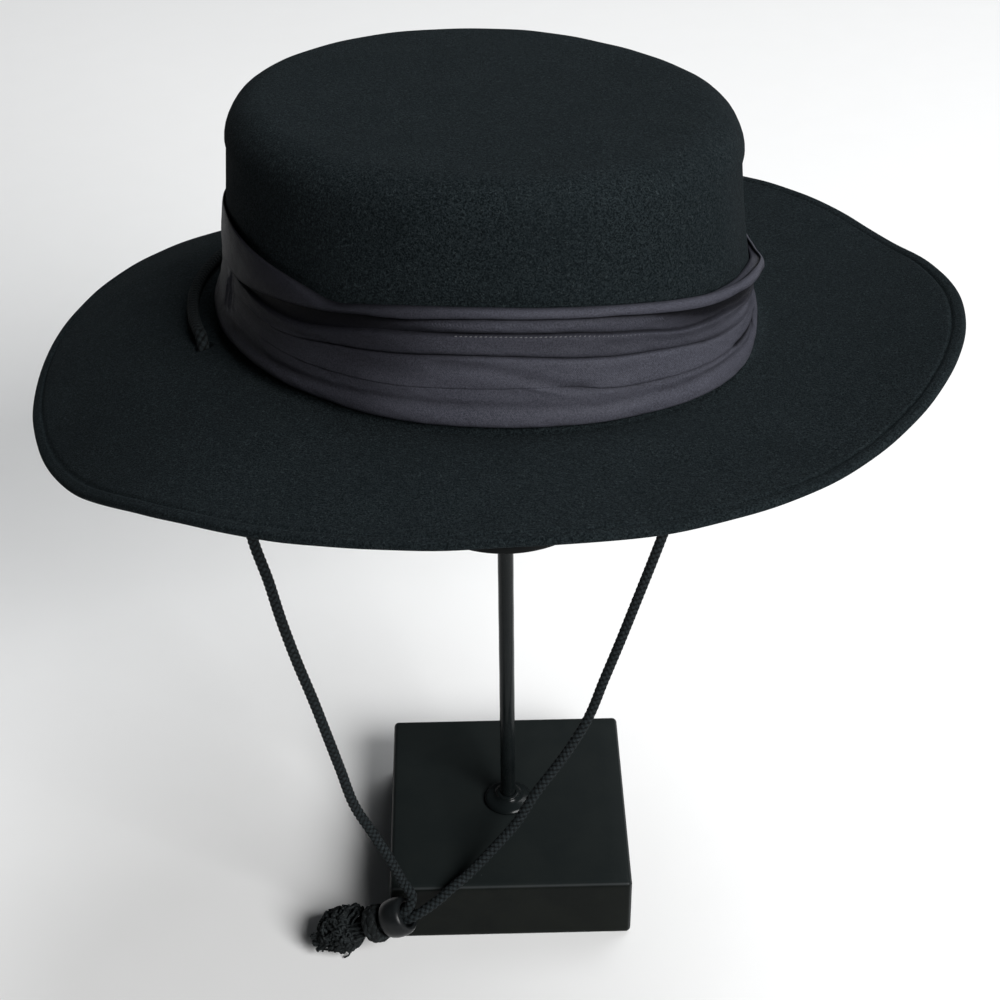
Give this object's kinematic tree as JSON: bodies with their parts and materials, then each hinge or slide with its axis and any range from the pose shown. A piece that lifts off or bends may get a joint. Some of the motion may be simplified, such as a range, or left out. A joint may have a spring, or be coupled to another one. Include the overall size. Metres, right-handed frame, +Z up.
{
  "type": "gaucho hat on a display stand",
  "caption": "Flat-crowned black wool felt gaucho hat with a wide wavy brim, draped satin band and braided chin cord with bead and tassel, on a small rod stand with a square base.",
  "frame": {"origin": "centre of the stand base's underside, on the axis of the rod", "axes": "+X to the right in the picture, +Y away from its camera towards the back of the stand, +Z up along the rod"},
  "size_m": [0.3031, 0.321, 0.3439],
  "materials": {
    "wool_felt": "matte pressed wool felt, black with a faint blue-green cast",
    "band_satin": "charcoal satin twill laid in folds",
    "braided_cord": "matte braided black cord",
    "bead_gloss": "glossy black barrel bead",
    "tassel_yarn": "frayed black yarn",
    "painted_block": "satin black paint over a solid block",
    "painted_metal": "black enamel, fairly shiny",
    "rest_plastic": "plain black plastic"
  },
  "bodies": {
    "root": {"felt_body": "wool_felt", "hat_band": "band_satin", "chin_cord_back": "braided_cord", "chin_cord_left": "braided_cord", "chin_cord_right": "braided_cord", "slide_bead": "bead_gloss", "cord_tassel": "tassel_yarn", "stand_base": "painted_block", "stand_collar": "painted_metal", "stand_rod": "painted_metal", "stand_disc": "rest_plastic", "hat_rest": "rest_plastic"}
  },
  "joints": []
}
